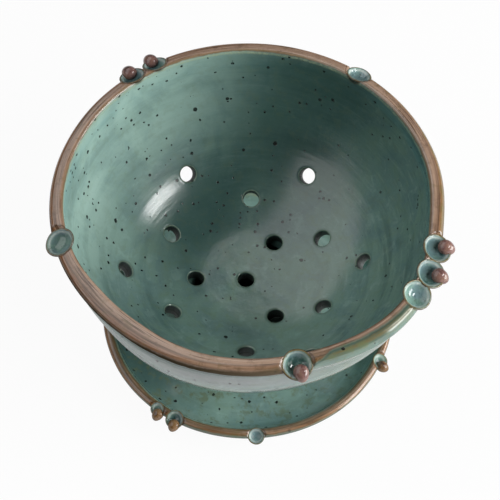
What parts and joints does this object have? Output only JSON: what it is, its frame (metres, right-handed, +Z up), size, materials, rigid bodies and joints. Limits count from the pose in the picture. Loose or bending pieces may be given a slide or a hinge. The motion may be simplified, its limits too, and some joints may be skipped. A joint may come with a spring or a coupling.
{
  "type": "berry colander bowl with saucer",
  "caption": "Glazed stoneware berry bowl with drilled drain holes and small cups and beads set into its rolled lip, standing on a foot ring in a matching drip saucer.",
  "frame": {"origin": "on the table, under the middle of the saucer", "axes": "+Z up along the axis both pieces were thrown on; the pictured front faces -Y, and +X is to the right in the picture"},
  "size_m": [0.1688, 0.1672, 0.1038],
  "materials": {
    "glaze": "glossy blue-green stoneware glaze that breaks iron brown on the lip",
    "cup_glaze": "pale glossy blue-grey glaze with a brown edge",
    "bead_glaze": "glossy iron brown"
  },
  "bodies": {
    "saucer_set": {"saucer": "glaze", "saucer_cup_1": "cup_glaze", "saucer_cup_2": "cup_glaze", "saucer_cup_3": "cup_glaze", "saucer_cup_4": "cup_glaze", "saucer_cup_5": "cup_glaze", "saucer_cup_6": "cup_glaze", "saucer_cup_7": "cup_glaze", "saucer_cup_8": "cup_glaze", "saucer_bead_1": "bead_glaze", "saucer_bead_2": "bead_glaze", "saucer_bead_3": "bead_glaze", "saucer_bead_4": "bead_glaze", "saucer_bead_5": "bead_glaze"},
    "bowl_set": {"colander_bowl": "glaze", "bowl_foot_ring": "glaze", "bowl_cup_1": "cup_glaze", "bowl_cup_2": "cup_glaze", "bowl_cup_3": "cup_glaze", "bowl_cup_4": "cup_glaze", "bowl_cup_5": "cup_glaze", "bowl_cup_6": "cup_glaze", "bowl_cup_7": "cup_glaze", "bowl_cup_8": "cup_glaze", "bowl_bead_1": "bead_glaze", "bowl_bead_2": "bead_glaze", "bowl_bead_3": "bead_glaze", "bowl_bead_4": "bead_glaze", "bowl_bead_5": "bead_glaze"}
  },
  "joints": [
    {"name": "bowl_lift", "type": "slide", "parent": "saucer_set", "child": "bowl_set", "axis": [0, 0, 1], "range_m": [0, 0.1]}
  ]
}
